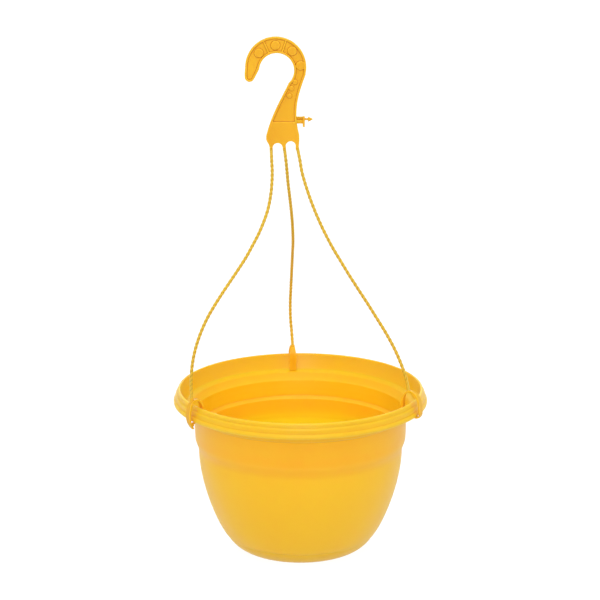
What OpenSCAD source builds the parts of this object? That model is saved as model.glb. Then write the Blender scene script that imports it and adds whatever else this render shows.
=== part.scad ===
// Hanging flower pot: a thin-walled tapered pot with a terraced rim, a push-on drip saucer
// and a moulded hanger. The hanger is a flat hook plate on three rope-textured strands,
// each ending in a clip that arches over the rim and snaps under its lower edge.
// Origin: centre of the saucer's underside. +Z is up, the hook plate faces -Y.

/* [Pot] */
// Outer diameter of the rim
rim_d = 250; // [248:1:256]
// Height of the rim's top edge above the ground
rim_h = 162.5; // [160:0.5:168]
// Thickness of the lower wall
wall = 1.6; // [1.4:0.1:2]
// Height of the pot's floor above the ground
floor_z = 8; // [7:0.5:8.5]
// Number of drain holes
drain_count = 6; // [3:1:8]
// Diameter of a drain hole
drain_d = 7; // [4:0.5:9]

/* [Drip saucer] */
// Radius of the saucer's top edge
saucer_r = 74.6; // [74.2:0.1:75]
// Height of the saucer
saucer_h = 14; // [13.6:0.1:14.2]
// Thickness of the saucer
saucer_wall = 1.4; // [1:0.1:1.5]

/* [Hook] */
// Distance of the hook's eye from the pot's axis
eye_x = -22.5; // [-26:0.5:-18]
// Height of the eye's centre
eye_z = 475; // [465:1:485]
// Inner radius of the eye, the arc that lies on the bar
eye_r = 16.5; // [15:0.5:17]
// Width of the hook's band at the top
band_w = 15; // [13:0.5:16]
// Thickness of the hook's edge bead
hook_t = 4.4; // [3.6:0.2:5]
// Thickness of the web inside the bead
web_t = 2; // [1.4:0.2:2.4]
// Width of the edge bead
bead_w = 1.9; // [1.6:0.1:2.2]
// Height where the web ends and the plate is full
web_foot_z = 426; // [422:1:430]

/* [Hanger] */
// Diameter of a strand
strand_d = 3; // [2.6:0.1:3.2]
// Height of the line where the strands bend out of the hook
root_z = 400; // [400:1:401]
// Direction of the left clip around the rim, from +X
clip_left = 214; // [210:1:218]
// Direction of the back clip
clip_back = 94; // [90:1:98]
// Direction of the right clip
clip_right = -26; // [-30:1:-22]
// How far the left clip sits above or below its nominal place on the rim
seat_left = -1.8; // [-2:0.1:0]
// The same for the back clip
seat_back = -1.2; // [-2:0.1:0]
// The same for the right clip
seat_right = 0.6; // [0:0.1:1]
// Width of a clip's legs
clip_w = 7; // [6:0.5:8]
// Thickness of a clip's legs
clip_t = 1.8; // [1.5:0.1:2]

/* [Hidden] */
$fn = 96;

yellow = "#f6ba30";
gap = 0.3;
rim_r = rim_d / 2;
lip_r = rim_r - 5.6;
clip_top = 11.5;
strand_foot_z = rim_h + clip_top;
leg_r = 1.8;
strand_top_z = root_z - leg_r - gap;
root_xs = [-28, -15.5, -3];

// The strands' routes from the hook to the clips.
route_left = [
    [-28, 0, 0], [-27.5, -2, 388], [-27, -4, 378], [-27.5, -7, 365], [-29, -9, 353], [-31.5, -13, 342],
    [-35.5, -17, 331], [-40, -21, 321], [-45, -25, 312], [-51.5, -31, 301], [-58.5, -37, 291],
    [-66.5, -43, 280], [-74.5, -49, 269], [-82.5, -54, 257], [-89, -58, 246], [-94.5, -62, 234],
    [-99, -65, 221], [-102, -67, 208], [-103.5, -69, 195], [-103.8, -69.8, 184], [-103.6, -69.9, 0]];
route_back = [
    [-15.5, 0, 0], [-14, 1, 389], [-13, 4, 378], [-12, 9, 365], [-10.5, 17, 350], [-9, 27, 334],
    [-8, 38, 319], [-7.5, 50, 304], [-7.5, 61, 292], [-8, 72, 281], [-8.5, 84, 268], [-9, 94, 256],
    [-9.5, 103, 244], [-10, 110, 232], [-10.5, 115, 220], [-10.5, 118, 207], [-10, 118.5, 196],
    [-9, 117, 185], [-8.1, 115.1, 0]];
route_right = [
    [-3, 0, 0], [-0.5, -2, 389], [1.5, -5, 378], [5, -8, 366], [9.5, -11, 353], [15.5, -14, 338],
    [22.5, -17, 323], [30.5, -20, 308], [38.5, -23, 295], [46, -26, 283], [54.5, -29, 270],
    [64, -33, 256], [72.5, -37, 243], [81.5, -41, 229], [89.5, -45, 215], [95.5, -48, 202],
    [100, -50, 190], [102.4, -50.6, 181], [103.7, -50.6, 0]];

// ---- curves ----

// Point at share s of a cubic curve with four control points.
function cubic(p, s) =
    p[0] * pow(1 - s, 3) + p[1] * 3 * s * pow(1 - s, 2) + p[2] * 3 * s * s * (1 - s) + p[3] * pow(s, 3);
function curve(p, n) = [for (i = [0:n]) cubic(p, i / n)];
function arc(c, r, from, to, n) =
    [for (i = [0:n]) let (a = from + (to - from) * i / n) c + r * [cos(a), sin(a)]];
function unit(v) = v / norm(v);
function reversed(p) = [for (i = [len(p) - 1:-1:0]) p[i]];

// Left-hand normal of an open line at its point i.
function normal_at(p, i) =
    let (d = unit(p[min(i + 1, len(p) - 1)] - p[max(i - 1, 0)])) [-d[1], d[0]];
function beside(p, d) = [for (i = [0:len(p) - 1]) p[i] + d * normal_at(p, i)];
// Outline of a strip of thickness t along an open line.
function strip(p, t) = concat(beside(p, t / 2), reversed(beside(p, -t / 2)));
// A closed outline moved inwards by d, for an outline that runs anticlockwise.
function inset(p, d) = [for (i = [0:len(p) - 1])
    let (n = len(p), a = unit(p[i] - p[(i + n - 1) % n]), b = unit(p[(i + 1) % n] - p[i]),
         m = unit([-a[1] - b[1], a[0] + b[0]])) p[i] + m * d / max(0.5, m * [-a[1], a[0]])];

// ---- pot ----

lower_wall = curve([[100.9, 99.3], [100.5, 66.5], [84.6, 26.7], [saucer_r + 0.8, saucer_h + gap]], 12);
shoulder = curve([[104.4, 114], [104.2, 108], [101.2, 106], [100.9, 99.3]], 5);
saucer_side = curve([[saucer_r, saucer_h], [71.2, 6.8], [63.9, 0.4], [57, 0]], 10);
pot_foot = beside(saucer_side, -(saucer_wall + 2 * gap));
// Terraces of the rim's skirt, from the top edge down and out.
skirt_out = [[-5.6, 0], [-4.5, -0.8], [-3.8, -3.9], [-2.5, -4.9], [-2.1, -5.9],
             [-1.9, -9.3], [-0.6, -10.3], [0, -11.6], [0, -13.9]];
skirt_in = [[-1.6, -13.9], [-1.7, -11.2], [-3.6, -10.1], [-3.8, -6.1], [-5.4, -5.1], [-5.5, -2.5]];

module pot_profile() {
    foot = [for (p = pot_foot) if (p[1] > floor_z && p[1] < saucer_h - 0.8) p];
    skirt = [for (p = skirt_out) [rim_r + p[0], rim_h + p[1]]];
    lining = [for (p = skirt_in) [rim_r + p[0], rim_h + p[1]]];
    outside = concat(
        [[0, floor_z]], [[60, floor_z]], reversed(foot), [[saucer_r - 1.9, saucer_h + gap]],
        reversed(lower_wall), reversed([for (i = [0:4]) shoulder[i]]),
        [[104.8, 133], [105.6, 139], [108.6, 140.3], [110.4, 144.6], [114.1, 148], [119.1, 160.1]],
        reversed(lining), reversed(skirt));
    inside = concat(
        [[lip_r - 1, rim_h - 0.4], [112.3, 147.5], [108.3, 144.5], [103.4, 137.8], [102.5, 131],
         [102.3, 122], [99.3, 119], [99, 106]],
        [for (p = beside(lower_wall, -wall)) if (p[1] > 17) p],
        [[73.4, saucer_h + 1.9], [71.3, saucer_h + 0.6], [69.5, floor_z + 4.6], [66.5, floor_z + 2.9],
         [62, floor_z + 2.4], [0, floor_z + 2]]);
    polygon(concat(outside, inside));
}

module pot() {
    color(yellow) difference() {
        union() {
            rotate_extrude() pot_profile();
            feet();
        }
        for (i = [0:drain_count - 1]) rotate(i * 360 / drain_count) translate([38, 0, 0])
            cylinder(d = drain_d, h = 3 * floor_z);
    }
}

// Four short feet hold the pot's floor above the water in the saucer.
module feet() {
    for (a = [45:90:315]) rotate(a) translate([52, 0, saucer_wall + gap])
        cylinder(d = 6, h = floor_z - saucer_wall);
}

module drip_saucer() {
    inner = beside(saucer_side, -saucer_wall);
    color(yellow) rotate_extrude() polygon(concat(
        [[0, 0]], reversed(saucer_side),
        [for (p = inner) if (p[1] > saucer_wall && p[1] < saucer_h) p],
        [[58, saucer_wall], [0, saucer_wall]]));
}

// ---- hook ----

eye = [eye_x, eye_z];
crown = [eye_x - 0.9, eye_z + 3];
crown_r = eye_r + band_w - 2.5;
shank_right = curve([[4.9, 471], [-1, 455], [-7.6, 438], [-1.1, 413]], 12);
shank_left = curve([[-32.8, 412], [-27.8, 433], [-17.2, 450], [-11.6, 462]], 12);

// The plate's outline, with an arc of radius r for the eye.
function hook_outline(r) = concat(
    arc(crown, crown_r, -12, 180, 32),
    [[-52.9, 472]], arc([-48.2, 468.8], 4.6, 180, 330, 8), [[-41, 472.5]],
    arc(eye, r, 162, -40, 26),
    reversed(shank_left),
    curve([[-32.8, 409.5], [-32.4, 406], [-29.5, 405], [-29.5, root_z + 1]], 4),
    curve([[-1.5, root_z + 1], [-1.5, 405], [-0.8, 407], [-1, 410]], 4),
    reversed(shank_right));

// Stands a flat outline up in the XZ plane.
module upright(t) {
    rotate([90, 0, 0]) translate([0, 0, -t / 2]) linear_extrude(t) children();
}

// The foot of the plate ends in one leg for each strand, with a round end about the bending line.
module root_leg(x) {
    translate([x - 1.5, -leg_r, root_z]) cube([3, 2 * leg_r, 7]);
    translate([x - 1.5, 0, root_z]) rotate([0, 90, 0]) cylinder(r = leg_r, h = 3);
}

// Round arches part the legs, the right one a little higher.
module arches() {
    for (p = [[(root_xs[0] + root_xs[1]) / 2, 0.8], [(root_xs[1] + root_xs[2]) / 2, 2.6]])
        translate([p[0], hook_t, root_z + p[1]]) rotate([90, 0, 0]) cylinder(r = 4.75, h = 2 * hook_t);
}

// Bosses and ribs stand in the plate's channel, a little lower than its edge bead.
channel_r = 22.9;
boss_r = 4.2;
boss_t = hook_t - 0.4;
module boss(x, z, r) {
    translate([x, boss_t / 2, z]) rotate([90, 0, 0]) cylinder(r = r, h = boss_t);
}
module bosses() {
    for (a = [9.5, 50, 93, 137])
        boss(eye_x + channel_r * cos(a), eye_z + 1 + channel_r * sin(a), boss_r);
    for (p = [[-5, 464], [-8.5, 458], [-10.5, 451]]) boss(p[0], p[1], 2.2);
    for (a = [72, 115]) translate([eye_x, 0, eye_z + 1]) rotate([0, -a, 0])
        translate([17.4, -boss_t / 2, -0.6]) cube([11.4, boss_t, 1.2]);
}

// The recess in the plate's face, from its foot up.
module web_recess() {
    intersection() {
        polygon(inset(hook_outline(eye_r), bead_w));
        translate([-60, web_foot_z]) square([80, 100]);
    }
}

module hook() {
    color(yellow) difference() {
        union() {
            difference() {
                upright(hook_t) polygon(hook_outline(eye_r - 1));
                for (side = [-1, 1]) translate([0, side * (web_t + hook_t) / 2, 0])
                    upright(hook_t) web_recess();
            }
            bosses();
            for (x = root_xs) root_leg(x);
        }
        arches();
        translate([eye_x, hook_t, eye_z]) rotate([90, 0, 0]) cylinder(r = eye_r, h = 2 * hook_t);
    }
}

// Peg for the plant label: block, stop plate, neck and arrow head in a row along +X.
module label_peg() {
    color(yellow) translate([-3.4, 0, root_z + 28.4]) {
        translate([-1.4, -1.9, -4]) cube([7.2, 3.8, 6.4]);
        translate([5.8, -2.6, -7.2]) cube([2, 5.2, 9.9]);
        rotate([0, 90, 0]) translate([0, 0, 7.8]) cylinder(r = 0.9, h = 3);
        rotate([0, 90, 0]) translate([0, 0, 10.7]) cylinder(r1 = 2.6, r2 = 0.4, h = 4.3);
    }
}

// ---- hanger ----

// A tube of 8 sides along a route. Its two end faces lie level.
module tube(route, d) {
    sides = 8;
    n = len(route);
    rings = [for (i = [0:n - 1])
        let (t = i == 0 || i == n - 1 ? [0, 0, -1] : unit(route[i + 1] - route[i - 1]),
             u = unit(cross([0, 1, 0], t)), v = cross(t, u))
        for (k = [0:sides - 1]) route[i] + d / 2 * (u * cos(k * 360 / sides) + v * sin(k * 360 / sides))];
    walls = [for (i = [0:n - 2]) for (k = [0:sides - 1])
        let (a = i * sides + k, b = i * sides + (k + 1) % sides) [a, a + sides, b + sides, b]];
    polyhedron(rings, concat(
        [[for (k = [0:sides - 1]) k]], walls, [[for (k = [sides - 1:-1:0]) (n - 1) * sides + k]]));
}

// The route's first and last points take their heights from the hook and the clip.
module strand(route, seat) {
    n = len(route) - 1;
    top = [route[0][0], route[0][1], strand_top_z];
    foot = [route[n][0], route[n][1], strand_foot_z + seat];
    color(yellow) tube([for (i = [0:n]) i == 0 ? top : i == n ? foot : route[i]], strand_d);
}

// A clip's own plane: x runs out from the rim's lip, y runs up from its top edge.
// Each clip has the seat it was given above, the line of its arch, the line of its latch
// and the place where the strand stands on the arch. The inner leg ends just above the pot's
// upper ledge. A latch either has snapped under the rim's skirt or hangs free beside it.
function leaning_in(seat) =
    [seat,
     concat([[-9.8, -15.8 - seat], [-9.4, -8]], curve([[-9.3, -1], [-9.6, 14], [3.5, 12], [7.1, 2.2]], 14)),
     [[7.6, 1], [8.3, -4], [8.9, -9], [9.1, -12], [8.2, -14.7], [5.6, -15.9], [2.4, -15.9]], -4];
function leaning_out(seat) =
    [seat,
     concat([[-9.8, -15.8 - seat], [-8.2, -8]], curve([[-6, -1], [-4.5, 11.5], [5.5, 11.5], [8.1, 2.2]], 14)),
     [[8.5, 1], [9.2, -4], [9.2, -9], [8.3, -13.4], [6.6, -16.8], [4.6, -19.4]], 5.5];

// Places the clip's plane upright at a direction around the rim.
module at_rim(a, seat) {
    rotate(a) translate([lip_r, 0, rim_h + seat]) children();
}

module leg_plate(line, w) {
    rotate([90, 0, 0]) translate([0, 0, -w / 2]) linear_extrude(w) polygon(strip(line, clip_t));
}

// Outline of a leg seen from outside the rim, pushed through the clip.
module across(outline) {
    rotate([90, 0, 90]) translate([0, 0, -15]) linear_extrude(30) polygon(outline);
}

// Arch over the rim with its inner leg, narrow at the top where the strand joins.
module rim_clip(a, clip) {
    w = clip_w / 2;
    strand_x = clip[3];
    stem_z = max([for (p = clip[1]) if (abs(p[0] - strand_x) < 1.4) p[1]]) - 1;
    color(yellow) at_rim(a, clip[0]) {
        intersection() {
            leg_plate(clip[1], clip_w);
            across([[-w, -20], [w, -20], [w, 2], [1.9, 11], [-1.9, 11], [-w, 2]]);
        }
        translate([strand_x, 0, stem_z]) cylinder(r = 1.8, h = clip_top - stem_z);
    }
}

// Outer leg of a clip. It bends about its top end.
module clip_latch(a, clip) {
    w = clip_w / 2;
    hinge = clip[2][0];
    color(yellow) at_rim(a, clip[0]) {
        translate([hinge[0], 0, hinge[1]]) rotate([90, 0, 0]) cylinder(d = clip_t, h = clip_w, center = true);
        intersection() {
            union() {
                leg_plate(clip[2], clip_w);
                children();
            }
            across([[-1.4, -22], [1.4, -22], [w, -10], [w, 3], [-w, 3], [-w, -10]]);
        }
    }
}

// The barb of the latch that hangs free, below the skirt.
module barb() {
    rotate([90, 0, 0]) translate([0, 0, -1.5]) linear_extrude(3)
        polygon([[7.4, -13.6], [2.6, -13.4], [2.4, -14.6], [5.8, -18.4]]);
}

module strand_left() { strand(route_left, seat_left); }
module strand_back() { strand(route_back, seat_back); }
module strand_right() { strand(route_right, seat_right); }
module rim_clip_left() { rim_clip(clip_left, leaning_out(seat_left)); }
module rim_clip_back() { rim_clip(clip_back, leaning_in(seat_back)); }
module rim_clip_right() { rim_clip(clip_right, leaning_in(seat_right)); }
module clip_latch_left() { clip_latch(clip_left, leaning_out(seat_left)) barb(); }
module clip_latch_back() { clip_latch(clip_back, leaning_in(seat_back)); }
module clip_latch_right() { clip_latch(clip_right, leaning_in(seat_right)); }

pot();
drip_saucer();
hook();
label_peg();
strand_left();
strand_back();
strand_right();
rim_clip_left();
rim_clip_back();
rim_clip_right();
clip_latch_left();
clip_latch_back();
clip_latch_right();
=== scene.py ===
"""The looks of a hanging flower pot: pot, drip saucer and a moulded hanger, all in one yellow plastic.

Shapes are worked out in millimetres in the frame of the CAD model and written to the meshes in metres.
"""

import math

import bmesh
import bpy
from mathutils import Matrix, Vector


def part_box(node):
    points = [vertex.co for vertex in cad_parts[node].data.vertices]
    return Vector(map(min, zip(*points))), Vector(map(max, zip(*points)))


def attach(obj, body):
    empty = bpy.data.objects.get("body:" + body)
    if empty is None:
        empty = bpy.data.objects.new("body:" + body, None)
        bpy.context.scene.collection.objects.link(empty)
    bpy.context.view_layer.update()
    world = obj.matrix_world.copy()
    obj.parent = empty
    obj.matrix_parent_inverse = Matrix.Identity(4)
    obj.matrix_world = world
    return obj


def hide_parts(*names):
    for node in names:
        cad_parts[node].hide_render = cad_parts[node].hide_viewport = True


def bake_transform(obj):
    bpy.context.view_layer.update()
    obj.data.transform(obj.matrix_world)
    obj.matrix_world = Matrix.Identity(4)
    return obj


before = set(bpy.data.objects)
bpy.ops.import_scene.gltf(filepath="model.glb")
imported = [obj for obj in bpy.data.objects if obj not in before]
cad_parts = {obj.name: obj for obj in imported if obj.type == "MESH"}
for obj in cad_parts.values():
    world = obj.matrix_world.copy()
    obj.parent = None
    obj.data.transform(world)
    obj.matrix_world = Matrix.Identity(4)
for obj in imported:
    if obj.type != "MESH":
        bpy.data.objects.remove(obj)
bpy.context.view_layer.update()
MM = 0.001

# ---- driving dimensions, in millimetres ----

POT_BOX = [[value / MM for value in corner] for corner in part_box("pot")]
SAUCER_BOX = [[value / MM for value in corner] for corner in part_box("drip_saucer")]

RIM_R = POT_BOX[1][0]
RIM_H = POT_BOX[1][2]
LIP_R = RIM_R - 5.6
WALL = 1.6
GAP = 0.3
FLOOR_Z = 8.0
FLOOR_TOP = FLOOR_Z + 2
DRAIN_COUNT = 6
DRAIN_R = 3.5
DRAIN_RING_R = 38.0
FOOT_COUNT = 4
FOOT_R = 3.0
FOOT_RING_R = 52.0

SAUCER_R = SAUCER_BOX[1][0]
SAUCER_H = SAUCER_BOX[1][2]
SAUCER_WALL = 1.4

PEG_X = -3.4
PEG_Z = 428.4
ROOT_Z = 400.0
STRAND_D = 3.0
STRAND_TOP = ROOT_Z + 1.5
TWIST_PITCH = 9.0
TWIST_DEPTH = 0.13

CLIP_TOP = 11.5
CLIP_W = 7.0
CLIP_NARROW = 3.8
CLIP_TIP_W = 2.8
CLIP_T = 1.8
BARB_W = 3.0
# For each clip: its direction around the rim, how far it sits above its nominal place,
# whether it leans outwards, and where the strand stands on its arch.
CLIPS = {
    "left": (214.0, -1.8, True, 5.5),
    "back": (94.0, -1.2, False, -4.0),
    "right": (-26.0, 0.6, False, -4.0)}
STRAND_FEET = {side: RIM_H + CLIP_TOP + clip[1] - 1 for side, clip in CLIPS.items()}

# Where the strands run, from the hook to the clips.
ROUTES = {
    "left": [
        (-28, 0, STRAND_TOP), (-27.5, -2, 388), (-27, -4, 378), (-27.5, -7, 365), (-29, -9, 353),
        (-31.5, -13, 342), (-35.5, -17, 331), (-40, -21, 321), (-45, -25, 312), (-51.5, -31, 301),
        (-58.5, -37, 291), (-66.5, -43, 280), (-74.5, -49, 269), (-82.5, -54, 257), (-89, -58, 246),
        (-94.5, -62, 234), (-99, -65, 221), (-102, -67, 208), (-103.5, -69, 195), (-103.8, -69.8, 184),
        (-103.6, -69.9, STRAND_FEET["left"])],
    "back": [
        (-15.5, 0, STRAND_TOP), (-14, 1, 389), (-13, 4, 378), (-12, 9, 365), (-10.5, 17, 350),
        (-9, 27, 334), (-8, 38, 319), (-7.5, 50, 304), (-7.5, 61, 292), (-8, 72, 281), (-8.5, 84, 268),
        (-9, 94, 256), (-9.5, 103, 244), (-10, 110, 232), (-10.5, 115, 220), (-10.5, 118, 207),
        (-10, 118.5, 196), (-9, 117, 185), (-8.1, 115.1, STRAND_FEET["back"])],
    "right": [
        (-3, 0, STRAND_TOP), (-0.5, -2, 389), (1.5, -5, 378), (5, -8, 366), (9.5, -11, 353),
        (15.5, -14, 338), (22.5, -17, 323), (30.5, -20, 308), (38.5, -23, 295), (46, -26, 283),
        (54.5, -29, 270), (64, -33, 256), (72.5, -37, 243), (81.5, -41, 229), (89.5, -45, 215),
        (95.5, -48, 202), (100, -50, 190), (102.4, -50.6, 181), (103.7, -50.6, STRAND_FEET["right"])]}


# ---- camera ----

CAMERA_PLACE = (-0.4, -1845, RIM_H + 561.6)
CAMERA_TILT = 75.6
LENS = 117.1
SENSOR = 36
VIEW_REACH = 50


def add_camera():
    """Looks along +Y and down at the rim, from the photograph's side."""
    data = bpy.data.cameras.new("camera")
    data.lens = LENS
    data.sensor_width = SENSOR
    data.clip_end = VIEW_REACH
    camera = bpy.data.objects.new("camera", data)
    camera.location = Vector(CAMERA_PLACE) * MM
    camera.rotation_euler = (math.radians(CAMERA_TILT), 0, 0)
    bpy.context.scene.collection.objects.link(camera)
    bpy.context.scene.camera = camera


# ---- lines ----

def cubic(p, s):
    """The point at share s of a cubic curve with four control points."""
    t = 1 - s
    weights = (t ** 3, 3 * t * t * s, 3 * t * s * s, s ** 3)
    return tuple(sum(w * q[k] for w, q in zip(weights, p)) for k in range(2))


def curve(p, n):
    """A cubic curve as n edges."""
    return [cubic(p, i / n) for i in range(n + 1)]


def beside(line, d):
    """An open line moved sideways by d, to its left."""
    moved = []
    for i, (x, y) in enumerate(line):
        before = line[max(i - 1, 0)]
        after = line[min(i + 1, len(line) - 1)]
        dx, dy = after[0] - before[0], after[1] - before[1]
        size = math.hypot(dx, dy)
        moved.append((x - dy / size * d, y + dx / size * d))
    return moved


def rounded(line, radius, steps=4):
    """An open line with its corners rounded, less so where its edges are short.

    A turn under 9 degrees stays as it is.
    """
    out = [line[0]]
    for before, corner, after in zip(line, line[1:], line[2:]):
        b, c, a = Vector(before), Vector(corner), Vector(after)
        into, away = (c - b), (a - c)
        turn = into.angle(away)
        if turn < math.radians(9):
            out.append(corner)
            continue
        cut = min(radius * math.tan(turn / 2), 0.45 * into.length, 0.45 * away.length)
        start, end = c - into.normalized() * cut, c + away.normalized() * cut
        for i in range(steps + 1):
            s = i / steps
            out.append(tuple(start * (1 - s) ** 2 + c * 2 * s * (1 - s) + end * s * s))
    out.append(line[-1])
    return out


def smooth_line(points, step):
    """Points a step apart on a smooth curve through the given points."""
    p = [Vector(q) for q in points]
    p = [2 * p[0] - p[1]] + p + [2 * p[-1] - p[-2]]
    dense = []
    for a, b, c, d in zip(p, p[1:], p[2:], p[3:]):
        for i in range(24):
            s = i / 24
            dense.append(0.5 * (2 * b + (c - a) * s + (2 * a - 5 * b + 4 * c - d) * s ** 2
                                + (3 * b - a - 3 * c + d) * s ** 3))
    dense.append(p[-2])
    length = sum((b - a).length for a, b in zip(dense, dense[1:]))
    count = round(length / step)
    out, walked, goal = [dense[0]], 0.0, length / count
    for a, b in zip(dense, dense[1:]):
        size = (b - a).length
        while walked + size >= goal and len(out) < count:
            out.append(a.lerp(b, (goal - walked) / size))
            goal += length / count
        walked += size
    return out + [dense[-1]]


# ---- meshes ----

def new_object(name, mesh):
    """Links a smooth-shaded object to the scene."""
    for face in mesh.polygons:
        face.use_smooth = True
    piece = bpy.data.objects.new(name, mesh)
    bpy.context.scene.collection.objects.link(piece)
    return piece


def from_bmesh(name, bm):
    """Turns a bmesh in millimetres into an object in metres."""
    bmesh.ops.recalc_face_normals(bm, faces=bm.faces)
    bm.transform(Matrix.Scale(MM, 4))
    mesh = bpy.data.meshes.new(name)
    bm.to_mesh(mesh)
    bm.free()
    return new_object(name, mesh)


def add_lathe(bm, profile, segments, centre=(0, 0)):
    """A solid of revolution. Its profile of (radius, height) starts and ends on the axis."""
    rings = []
    for r, z in profile:
        count = segments if r > 0 else 1
        angles = [2 * math.pi * k / segments for k in range(count)]
        rings.append([bm.verts.new((centre[0] + r * math.cos(a), centre[1] + r * math.sin(a), z))
                      for a in angles])
    for low, high in zip(rings, rings[1:]):
        for k in range(segments):
            corners = [low[k % len(low)], low[(k + 1) % len(low)],
                       high[(k + 1) % len(high)], high[k % len(high)]]
            bm.faces.new(list(dict.fromkeys(corners)))


def add_rod(bm, start, end, r_start, r_end, segments=32):
    """A round rod or cone between two points."""
    start, end = Vector(start), Vector(end)
    axis = end - start
    place = Matrix.Translation((start + end) / 2) @ axis.to_track_quat("Z", "Y").to_matrix().to_4x4()
    bmesh.ops.create_cone(bm, cap_ends=True, segments=segments, radius1=r_start, radius2=r_end,
                          depth=axis.length, matrix=place)


def add_box(bm, low, high):
    """A box between its lowest and its highest corner."""
    low, high = Vector(low), Vector(high)
    place = Matrix.Translation((low + high) / 2) @ Matrix.Diagonal((high - low).to_4d())
    place[3][3] = 1
    bmesh.ops.create_cube(bm, size=1, matrix=place)


def add_strap(bm, line, widths, thickness, taper=0):
    """A flat strap whose middle line lies in the XZ plane, with its own width at each point.

    Over its last taper points it thins to 0.6 of its thickness.
    """
    left, right = beside(line, thickness / 2), beside(line, -thickness / 2)
    rings = []
    for i, (a, b, w) in enumerate(zip(left, right, widths)):
        thinner = 0.2 * max(0, i - (len(line) - 1 - taper)) / max(taper, 1)
        ax, az = Vector(a).lerp(Vector(b), thinner)
        bx, bz = Vector(b).lerp(Vector(a), thinner)
        corners = [(ax, w / 2, az), (bx, w / 2, bz), (bx, -w / 2, bz), (ax, -w / 2, az)]
        rings.append([bm.verts.new(c) for c in corners])
    for a, b in zip(rings, rings[1:]):
        for k in range(4):
            bm.faces.new((a[k], a[(k + 1) % 4], b[(k + 1) % 4], b[k]))
    bm.faces.new(rings[0])
    bm.faces.new(rings[-1])


def applied(piece):
    """Applies the modifiers of a piece."""
    graph = bpy.context.evaluated_depsgraph_get()
    mesh = bpy.data.meshes.new_from_object(piece.evaluated_get(graph))
    piece.modifiers.clear()
    piece.data = mesh
    for face in mesh.polygons:
        face.use_smooth = True
    return piece


def moulded(piece, voxel, rounds, keep):
    """Joins the overlapping solids of a piece into one skin with soft edges, as a mould leaves them.

    voxel is the size of its faces, rounds says how often they are smoothed, and keep is the share of
    them that is left in the end.
    """
    remesh = piece.modifiers.new("remesh", "REMESH")
    remesh.mode = "VOXEL"
    remesh.voxel_size = voxel * MM
    soften = piece.modifiers.new("soften", "SMOOTH")
    soften.factor = 0.5
    soften.iterations = rounds
    applied(piece)
    lighter = piece.modifiers.new("lighter", "DECIMATE")
    lighter.ratio = keep
    return applied(piece)


# ---- pot and saucer ----

TURNED_SEGMENTS = 240
SMALL_SEGMENTS = 40
# Stretches of the outline, as points of (radius, height).
SAUCER_SIDE = curve([(SAUCER_R, SAUCER_H), (71.2, 6.8), (63.9, 0.4), (57, 0)], 20)
LOWER_WALL = curve([(100.9, 99.3), (100.5, 66.5), (84.6, 26.7), (SAUCER_R + 0.8, SAUCER_H + GAP)], 32)
SHOULDER = curve([(104.4, 114), (104.2, 108), (101.2, 106), (100.9, 99.3)], 10)


def pot_profile():
    """From the middle of the underside, out and up the wall, over the rim and down the inside."""
    foot = [p for p in beside(SAUCER_SIDE, -(SAUCER_WALL + 2 * GAP))
            if FLOOR_Z < p[1] < SAUCER_H - 0.8]
    skirt = [(-5.6, 0), (-4.5, -0.8), (-3.8, -3.9), (-2.5, -4.9), (-2.1, -5.9),
             (-1.9, -9.3), (-0.6, -10.3), (0, -11.6), (0, -13.9)]
    lining = [(-1.6, -13.9), (-1.7, -11.2), (-3.6, -10.1), (-3.8, -6.1), (-5.4, -5.1), (-5.5, -2.5)]
    outside = [(0, FLOOR_Z), (25, FLOOR_Z), (45, FLOOR_Z), (60, FLOOR_Z)]
    outside += foot[::-1] + [(SAUCER_R - 1.9, SAUCER_H + GAP)]
    outside += LOWER_WALL[::-1] + SHOULDER[-2::-1]
    outside += [(104.8, 133), (105.6, 139), (108.6, 140.3), (110.4, 144.6), (114.1, 148), (119.1, 160.1)]
    rim = [(RIM_R + r, RIM_H + z) for r, z in lining[::-1] + skirt[::-1]]
    inside = [(LIP_R - 1, RIM_H - 0.4), (112.3, 147.5), (108.3, 144.5), (103.4, 137.8), (102.5, 131),
              (102.3, 122), (99.3, 119), (99, 106)]
    inside += [p for p in beside(LOWER_WALL, -WALL) if p[1] > 17]
    inside += [(73.4, SAUCER_H + 1.9), (71.3, SAUCER_H + 0.6), (69.5, FLOOR_TOP + 2.6),
               (66.5, FLOOR_TOP + 0.9), (62, FLOOR_TOP + 0.4), (56, FLOOR_TOP), (45, FLOOR_TOP),
               (25, FLOOR_TOP), (0, FLOOR_TOP)]
    return rounded(outside + rim + inside, 0.9)


def add_around(bm, profile, count, ring_r, first=0.0):
    """Solids of revolution, evenly spaced around the pot's axis."""
    for i in range(count):
        a = first + 2 * math.pi * i / count
        add_lathe(bm, profile, SMALL_SEGMENTS, (ring_r * math.cos(a), ring_r * math.sin(a)))


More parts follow.
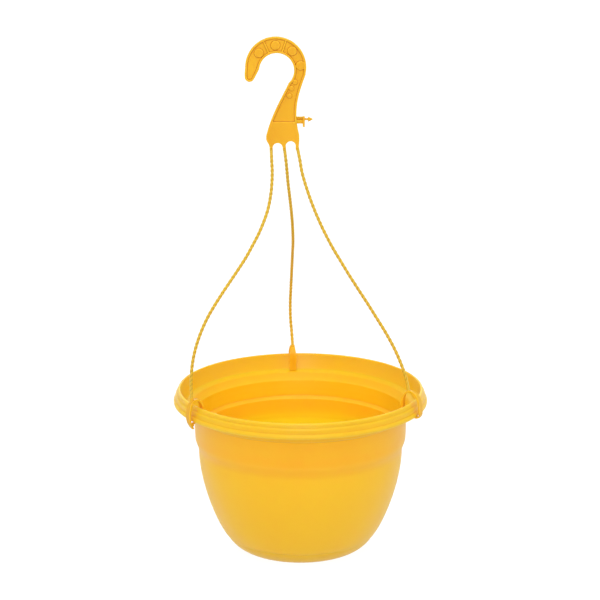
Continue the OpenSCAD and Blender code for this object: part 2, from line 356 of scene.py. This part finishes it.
def make_pot():
    """The turned shell, with its drain holes cut and its feet joined on."""
    bm = bmesh.new()
    add_lathe(bm, pot_profile(), TURNED_SEGMENTS)
    pot = from_bmesh("pot_shell", bm)
    chamfer = 0.4
    bore = [(0, FLOOR_Z - 1), (DRAIN_R + chamfer + 1, FLOOR_Z - 1), (DRAIN_R + chamfer, FLOOR_Z),
            (DRAIN_R, FLOOR_Z + chamfer), (DRAIN_R, FLOOR_TOP - chamfer), (DRAIN_R + chamfer, FLOOR_TOP),
            (DRAIN_R + chamfer + 1, FLOOR_TOP + 1), (0, FLOOR_TOP + 1)]
    holes = bmesh.new()
    add_around(holes, bore, DRAIN_COUNT, DRAIN_RING_R)
    low, high = SAUCER_WALL + GAP, FLOOR_Z + 1
    foot = [(0, low), (FOOT_R, low), (FOOT_R, FLOOR_Z - 0.6), (FOOT_R + 0.8, high), (0, high)]
    feet = bmesh.new()
    add_around(feet, rounded(foot, 0.8), FOOT_COUNT, FOOT_RING_R, math.pi / 4)
    for name, bm, operation in (("holes", holes, "DIFFERENCE"), ("feet", feet, "UNION")):
        tool = from_bmesh(name, bm)
        cut = pot.modifiers.new(name, "BOOLEAN")
        cut.operation = operation
        cut.solver = "EXACT"
        cut.object = tool
        applied(pot)
        bpy.data.objects.remove(tool)
    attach(pot, "pot")
    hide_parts("pot")
    return pot


def make_saucer():
    """The turned saucer that is pushed onto the pot's foot."""
    inner = [p for p in beside(SAUCER_SIDE, -SAUCER_WALL) if SAUCER_WALL < p[1] < SAUCER_H]
    outside = [(0, 0), (20, 0), (40, 0)] + SAUCER_SIDE[::-1]
    inside = inner + [(58, SAUCER_WALL), (40, SAUCER_WALL), (20, SAUCER_WALL), (0, SAUCER_WALL)]
    bm = bmesh.new()
    add_lathe(bm, rounded(outside + inside, 0.6), TURNED_SEGMENTS)
    saucer = from_bmesh("drip_tray", bm)
    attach(saucer, "saucer")
    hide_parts("drip_saucer")
    return saucer


# ---- hanger ----

def cad_copy(name, node):
    """A new object with a copy of a CAD node's mesh."""
    mesh = bpy.data.objects[node].data.copy()
    mesh.materials.clear()
    return new_object(name, mesh)


def make_hook():
    """The CAD model's hook plate with softened edges."""
    hook = cad_copy("hook_plate", "hook")
    moulded(hook, voxel=0.35, rounds=3, keep=1)
    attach(hook, "hook")
    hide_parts("hook")
    return hook


def make_label_peg():
    """A block with a hollow front, a stop plate, a neck and an arrow head, in a row along +X."""
    x, z = PEG_X, PEG_Z
    half_t = 1.9
    lower, back, upper = (-half_t, z - 4, z - 0.5), (0.3, z - 4, z + 2.4), (-half_t, z + 1.7, z + 2.4)
    bm = bmesh.new()
    for front, low, high in (lower, back, upper):
        add_box(bm, (x - 1.4, front, low), (x + 5.8, half_t, high))
    add_box(bm, (x + 5.6, -2.6, z - 7.2), (x + 7.6, 2.6, z + 2.7))
    add_rod(bm, (x + 7, 0, z), (x + 12, 0, z), 1, 1)
    add_rod(bm, (x + 10.7, 0, z), (x + 15, 0, z), 2.6, 0.4)
    peg = moulded(from_bmesh("label_pin", bm), voxel=0.2, rounds=4, keep=0.5)
    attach(peg, "hook")
    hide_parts("label_peg")
    return peg


def make_strand(side):
    """A moulded strand with the shape of a two-ply rope and plain ends."""
    line = smooth_line(ROUTES[side], 0.75)
    length = sum((b - a).length for a, b in zip(line, line[1:]))
    sides = 16
    plain_top, plain_foot, fade = 4, 3, 8
    bm = bmesh.new()
    rings = []
    across = Vector((1, 0, 0))
    walked = 0.0
    for i, p in enumerate(line):
        along = (line[min(i + 1, len(line) - 1)] - line[max(i - 1, 0)]).normalized()
        across = (across - along * across.dot(along)).normalized()
        other = along.cross(across)
        walked += (p - line[i - 1]).length if i else 0.0
        clear = min(walked - plain_top, length - walked - plain_foot)
        depth = TWIST_DEPTH * min(1.0, max(0.0, clear) / fade)
        ring = []
        for k in range(sides):
            a = 2 * math.pi * k / sides
            lobe = math.cos(2 * (a - 2 * math.pi * walked / TWIST_PITCH))
            r = STRAND_D / 2 * (1 + depth * lobe)
            ring.append(bm.verts.new(p + r * (across * math.cos(a) + other * math.sin(a))))
        rings.append(ring)
    for a, b in zip(rings, rings[1:]):
        for k in range(sides):
            bm.faces.new((a[k], a[(k + 1) % sides], b[(k + 1) % sides], b[k]))
    bm.faces.new(rings[0])
    bm.faces.new(rings[-1])
    strand = from_bmesh("rope_" + side, bm)
    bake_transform(strand)
    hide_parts("strand_" + side)
    return strand


def clip_lines(leans_out, seat):
    """The arch with its inner leg, and the latch. x runs out from the rim's lip, z up from its top edge."""
    leg_end = (-9.8, -15.8 - seat)
    if leans_out:
        arch = [leg_end, (-8.2, -8)] + curve([(-6, -1), (-4.5, 11.5), (5.5, 11.5), (8.1, 2.2)], 20)
        return arch, [(8.5, 1), (9.2, -4), (9.2, -9), (8.3, -13.4), (6.6, -16.8), (4.6, -19.4)]
    arch = [leg_end, (-9.4, -8)] + curve([(-9.3, -1), (-9.6, 14), (3.5, 12), (7.1, 2.2)], 20)
    return arch, [(7.6, 1), (8.3, -4), (8.9, -9), (9.1, -12), (8.1, -14.4), (5.8, -15.3), (2.8, -15.3)]


def arch_width(z):
    """The strap is narrow at its top, where the strand joins it."""
    return CLIP_W - max(0, z - 2) * (CLIP_W - CLIP_NARROW) / 9


def latch_width(z):
    """The latch tapers to its tip."""
    return CLIP_W - max(0, -10 - z) * (CLIP_W - CLIP_TIP_W) / 12


def make_clip(side):
    """Arch, inner leg and latch in one strap."""
    direction, seat, leans_out, strand_x = CLIPS[side]
    arch, latch = clip_lines(leans_out, seat)
    bm = bmesh.new()
    widths = [arch_width(z) for x, z in arch] + [latch_width(z) for x, z in latch]
    add_strap(bm, arch + latch, widths, CLIP_T, taper=0 if leans_out else 4)
    stem_z = max(z for x, z in arch if abs(x - strand_x) < 1.4) - 1
    add_rod(bm, (strand_x, 0, stem_z), (strand_x, 0, CLIP_TOP), r_start=2.0, r_end=1.6)
    if leans_out:
        for barb, barb_t in (([(7.2, -15), (2.8, -14)], 1.5), ([(6.6, -16.6), (4.2, -15.2)], 2.4)):
            add_strap(bm, barb, [BARB_W, BARB_W], barb_t)
    place = Matrix.Rotation(math.radians(direction), 4, "Z") @ Matrix.Translation((LIP_R, 0, RIM_H + seat))
    bm.transform(place)
    clip = moulded(from_bmesh("clip_" + side, bm), voxel=0.25, rounds=4, keep=0.4)
    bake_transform(clip)
    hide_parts("rim_clip_" + side, "clip_latch_" + side)
    return clip


# ---- materials ----

# Shades of the melt, of its darker streaks, of the painted highlight on thin edges and of the painted shade
# in corners.
POT_SHADES = (0.97, 0.51, 0.012), (0.96, 0.49, 0.01), (0.99, 0.58, 0.05), (0.86, 0.4, 0.006)
HANGER_SHADES = (0.89, 0.48, 0.008), (0.77, 0.37, 0.003), (0.95, 0.52, 0.02), (0.6, 0.23, 0.001)
STRAND_SHADES = (0.6, 0.38, 0.02), (0.52, 0.31, 0.012), (0.7, 0.45, 0.03), (0.42, 0.24, 0.004)
# Painted light on the pot's inner wall: a paler shade low down, where less light falls, and a darker one
# near the rim, where more light falls; and the heights where each of them is full.
INSIDE_PAINTED_LIGHT_SHADES = (0.98, 0.63, 0.02), (0.97, 0.45, 0.004)
INSIDE_PAINTED_LIGHT_HEIGHTS = (95, 150)
# The bend of the surface where the painted highlight on an edge or the painted shade in a corner starts,
# and where it is full.
EDGE_HIGHLIGHT_BEND = (0.015, 0.1)
CORNER_SHADE_BEND = (-0.01, -0.08)
ROUGHNESS = 0.4
ROUGHNESS_SPREAD = 0.07
# The two grains of the surface: how fine they are, how strong, and their height in millimetres.
GRAINS = (240, 0.1, 0.3), (1500, 0.12, 0.1)


def mark_edges(piece):
    """Stores how the surface bends at each vertex: above 0 on an edge, below 0 in a corner."""
    mesh = piece.data
    bend, count = [0.0] * len(mesh.vertices), [0] * len(mesh.vertices)
    for edge in mesh.edges:
        for here, there in (edge.vertices, reversed(edge.vertices)):
            along = (mesh.vertices[there].co - mesh.vertices[here].co).normalized()
            bend[here] -= along.dot(mesh.vertices[here].normal)
            count[here] += 1
    values = [b / c for b, c in zip(bend, count)]
    mesh.attributes.new("bend", "FLOAT", "POINT").data.foreach_set("value", values)


def mark_inside(piece):
    """Stores 1 at each vertex that faces the Z axis and 0 elsewhere; this marks where the inner wall's
    painted light goes.
    """
    values = [float(v.co.to_2d().dot(v.normal.to_2d()) < 0) for v in piece.data.vertices]
    piece.data.attributes.new("inside", "FLOAT", "POINT").data.foreach_set("value", values)


def plastic(name, shades, subsurface):
    """Semi-gloss moulded polypropylene, a little translucent, with a painted highlight on edges, painted
    shade in corners and painted light on the inner wall where it is marked inside.
    """
    # The third shade is a painted highlight for edges and the fourth a painted shade for corners.
    melt, streak, edge, corner = shades
    material = bpy.data.materials.new(name)
    material.use_nodes = True
    nodes, links = material.node_tree.nodes, material.node_tree.links
    shader = nodes["Principled BSDF"]
    shader.inputs["IOR"].default_value = 1.45
    shader.inputs["Specular IOR Level"].default_value = 0.3
    shader.inputs["Subsurface Weight"].default_value = subsurface
    shader.inputs["Subsurface Radius"].default_value = (1.0, 0.85, 0.35)
    shader.inputs["Subsurface Scale"].default_value = 6 * MM
    place = nodes.new("ShaderNodeTexCoord")

    def noise(scale, detail, stretch=(1, 1, 1)):
        """A value from 0 to 1 that varies over the piece."""
        spread = nodes.new("ShaderNodeMapping")
        spread.inputs["Scale"].default_value = stretch
        links.new(place.outputs["Object"], spread.inputs["Vector"])
        node = nodes.new("ShaderNodeTexNoise")
        node.inputs["Scale"].default_value = scale
        node.inputs["Detail"].default_value = detail
        links.new(spread.outputs["Vector"], node.inputs["Vector"])
        return node.outputs["Fac"]

    def attribute(name):
        """A value that is stored at each vertex."""
        node = nodes.new("ShaderNodeAttribute")
        node.attribute_name = name
        return node.outputs["Fac"]

    def map_range(value, start, end, low=0.0, high=1.0):
        """Carries a value from start and end over to low and high."""
        node = nodes.new("ShaderNodeMapRange")
        for socket, number in (("From Min", start), ("From Max", end), ("To Min", low), ("To Max", high)):
            node.inputs[socket].default_value = number
        links.new(value, node.inputs["Value"])
        return node.outputs["Result"]

    def ramp(value, low, high, low_shade, high_shade):
        """One shade where the value is low, another where it is high, and a blend between."""
        node = nodes.new("ShaderNodeValToRGB")
        stops = (low, low_shade), (high, high_shade)
        for element, (position, shade) in zip(node.color_ramp.elements, stops):
            element.position = position
            element.color = (*shade, 1)
        links.new(value, node.inputs["Fac"])
        return node.outputs["Color"]

    def covered(under, share):
        """A mix of the colour under with the colour that is to be set on its B socket."""
        node = nodes.new("ShaderNodeMix")
        node.data_type = "RGBA"
        links.new(share, node.inputs["Factor"])
        links.new(under, node.inputs["A"])
        return node

    # The melt leaves faint broad streaks that run up the wall.
    colour = ramp(noise(scale=26, detail=4, stretch=(1, 1, 0.35)), 0.3, 0.7, streak, melt)
    # Painted light and painted shade on the pot's inner wall, blended by height where a vertex is marked
    # inside.
    height = nodes.new("ShaderNodeSeparateXYZ")
    links.new(place.outputs["Object"], height.inputs["Vector"])
    rise = map_range(height.outputs["Z"], *(z * MM for z in INSIDE_PAINTED_LIGHT_HEIGHTS))
    inside_painted_light = covered(colour, attribute("inside"))
    links.new(ramp(rise, 0, 1, *INSIDE_PAINTED_LIGHT_SHADES), inside_painted_light.inputs["B"])
    colour = inside_painted_light.outputs["Result"]
    # Painted highlight on convex edges and painted shade in corners, placed by the bend of the surface.
    for bends, shade in ((EDGE_HIGHLIGHT_BEND, edge), (CORNER_SHADE_BEND, corner)):
        painted_highlight_and_shade = covered(colour, map_range(attribute("bend"), *bends))
        painted_highlight_and_shade.inputs["B"].default_value = (*shade, 1)
        colour = painted_highlight_and_shade.outputs["Result"]
    links.new(colour, shader.inputs["Base Color"])

    gloss = (ROUGHNESS - ROUGHNESS_SPREAD, ROUGHNESS + ROUGHNESS_SPREAD)
    links.new(map_range(noise(scale=70, detail=4), 0, 1, *gloss), shader.inputs["Roughness"])

    normal = None
    for scale, strength, distance in GRAINS:
        bump = nodes.new("ShaderNodeBump")
        bump.inputs["Strength"].default_value = strength
        bump.inputs["Distance"].default_value = distance * MM
        links.new(noise(scale, detail=2), bump.inputs["Height"])
        if normal:
            links.new(normal, bump.inputs["Normal"])
        normal = bump.outputs["Normal"]
    links.new(normal, shader.inputs["Normal"])
    return material


# ---- stage and light ----

FLOOR_HALF = 20000
BACKDROP_R = 15000
# Each lamp's name, the direction it stands in, its strength, and how wide it looks, in degrees.
LAMPS = [
    ("front", (0, -1, 0.42), 0.32, 20),
    ("back", (0, 1, 0.15), 0.3, 60),
    ("left", (-1, -0.3, 0.3), 0.13, 60),
    ("right", (1, -0.3, 0.3), 0.13, 60),
    ("top", (0, -0.35, 1), 0.18, 50)]
SKY = 0.64
GROUND = 0.62


def glowing(name, grey, roughness, strength):
    """A grey material that gives off white light."""
    material = bpy.data.materials.new(name)
    material.use_nodes = True
    shader = material.node_tree.nodes["Principled BSDF"]
    shader.inputs["Base Color"].default_value = (grey, grey, grey, 1)
    shader.inputs["Roughness"].default_value = roughness
    shader.inputs["Emission Color"].default_value = (1, 1, 1, 1)
    shader.inputs["Emission Strength"].default_value = strength
    return material


def add_floor():
    """A pale floor that throws no diffuse light on the object."""
    bm = bmesh.new()
    bmesh.ops.create_grid(bm, x_segments=1, y_segments=1, size=FLOOR_HALF)
    floor = from_bmesh("floor", bm)
    floor.data.materials.append(glowing("floor", grey=0.15, roughness=0.9, strength=0.92))
    floor.visible_diffuse = False


def add_backdrop():
    """A white surround, far away, that only the camera sees."""
    bm = bmesh.new()
    bmesh.ops.create_uvsphere(bm, u_segments=48, v_segments=24, radius=BACKDROP_R)
    backdrop = from_bmesh("backdrop", bm)
    backdrop.data.materials.append(glowing("backdrop", grey=0, roughness=0.5, strength=1.05))
    backdrop.visible_diffuse = False
    backdrop.visible_glossy = False
    backdrop.visible_transmission = False
    backdrop.visible_shadow = False


def add_lamp(name, direction, strength, angle):
    """A wide soft source, far away in the given direction."""
    data = bpy.data.lights.new(name, "SUN")
    data.energy = strength * math.pi
    data.angle = math.radians(angle)
    lamp = bpy.data.objects.new(name, data)
    lamp.rotation_euler = Vector(direction).to_track_quat("Z", "Y").to_euler()
    bpy.context.scene.collection.objects.link(lamp)


def add_world():
    """Even light from all around, with its own strength from above and from below."""
    world = bpy.data.worlds.new("studio")
    world.use_nodes = True
    nodes, links = world.node_tree.nodes, world.node_tree.links
    direction = nodes.new("ShaderNodeTexCoord")
    split = nodes.new("ShaderNodeSeparateXYZ")
    blend = nodes.new("ShaderNodeMapRange")
    blend.inputs["From Min"].default_value = -0.2
    blend.inputs["From Max"].default_value = 0.2
    blend.inputs["To Min"].default_value = GROUND
    blend.inputs["To Max"].default_value = SKY
    links.new(direction.outputs["Generated"], split.inputs["Vector"])
    links.new(split.outputs["Z"], blend.inputs["Value"])
    links.new(blend.outputs["Result"], nodes["Background"].inputs["Strength"])
    nodes["Background"].inputs["Color"].default_value = (1, 1, 1, 1)
    bpy.context.scene.world = world


# ---- build ----

add_camera()
strands = [make_strand(side) for side in ROUTES]
pot = make_pot()
saucer = make_saucer()
hanger_pieces = [make_hook(), make_label_peg()] + [make_clip(side) for side in CLIPS]

for piece in [pot, saucer] + hanger_pieces + strands:
    mark_edges(piece)
mark_inside(pot)
pot.data.materials.append(plastic("pot_plastic", POT_SHADES, subsurface=1.0))
saucer.data.materials.append(plastic("saucer_plastic", POT_SHADES, subsurface=0.3))
hanger_plastic = plastic("hanger_plastic", HANGER_SHADES, subsurface=0.4)
strand_plastic = plastic("strand_plastic", STRAND_SHADES, subsurface=0.4)
for piece in hanger_pieces:
    piece.data.materials.append(hanger_plastic)
for piece in strands:
    piece.data.materials.append(strand_plastic)

add_floor()
add_backdrop()
add_world()
for lamp in LAMPS:
    add_lamp(*lamp)
bpy.context.scene.view_settings.view_transform = "Standard"
